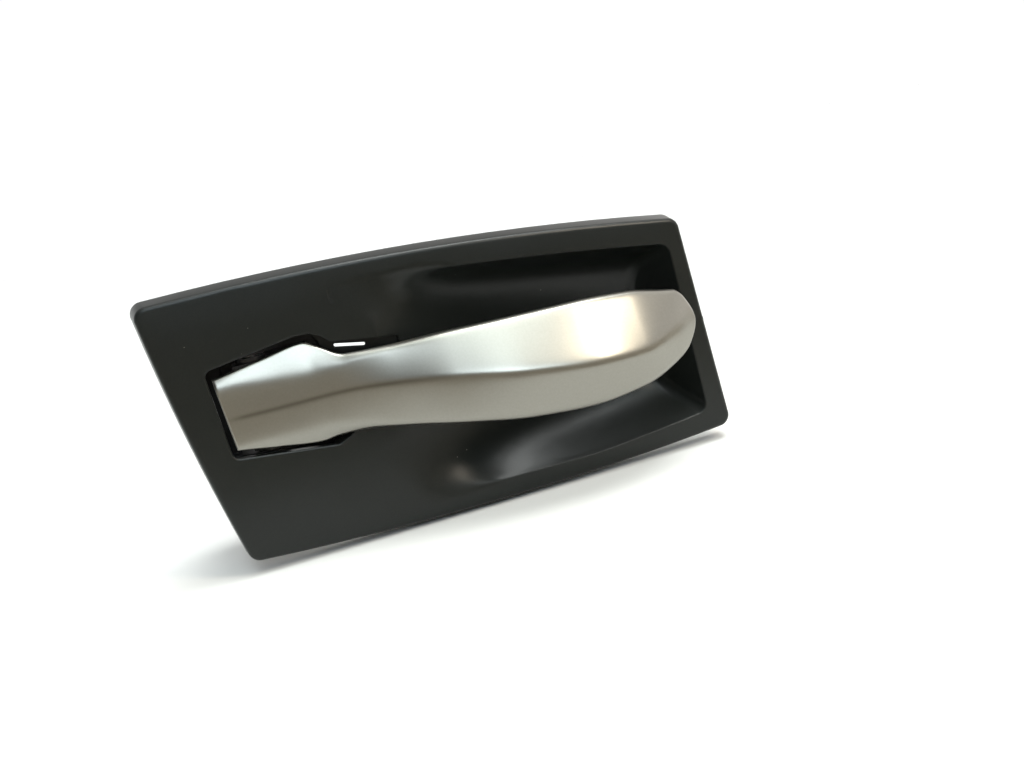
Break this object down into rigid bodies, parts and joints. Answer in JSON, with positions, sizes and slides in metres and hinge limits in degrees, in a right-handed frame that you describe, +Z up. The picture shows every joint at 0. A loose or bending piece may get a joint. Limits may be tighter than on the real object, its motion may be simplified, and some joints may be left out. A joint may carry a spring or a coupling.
{
  "type": "interior door handle",
  "caption": "Interior car door handle: a satin silver lever, hinged at one end, is pulled outwards from a dark grained bezel with a finger bowl and works a crank for a release cable.",
  "frame": {"origin": "point on the seat plane midway between the two panel screw bosses beside the hinge", "axes": "+X along the handle towards the lever's free end, +Z up, the face looks along -Y and the seat plane is y = 0"},
  "size_m": [0.1615, 0.053, 0.0795],
  "materials": {
    "bezel_plastic": "fine moulded grain, charcoal",
    "lever_paint": "satin metallic silver",
    "carrier_plastic": "glass-filled, smooth",
    "pin_steel": "ground",
    "clip_steel": "phosphated spring steel",
    "bush_plastic": "black acetal",
    "spring_steel": "drawn wire",
    "buffer_rubber": "moulded",
    "screw_steel": "zinc plated"
  },
  "bodies": {
    "housing": {"bezel": "bezel_plastic", "carrier": "carrier_plastic", "hinge_pin": "pin_steel", "pin_clip": "clip_steel", "return_spring": "spring_steel", "rest_buffer": "buffer_rubber", "open_buffer": "buffer_rubber", "carrier_screws": "screw_steel"},
    "lever": {"lever": "lever_paint", "upper_bush": "bush_plastic", "lower_bush": "bush_plastic"}
  },
  "joints": [
    {"name": "lever_hinge", "type": "hinge", "parent": "housing", "child": "lever", "pos_m": [0, -0.001, 0], "axis": [0, 0, -1], "range_deg": [0, 38], "stiffness_Nm_per_rad": 0.12, "springref_deg": -45.84, "deforming": ["return_spring"]}
  ]
}
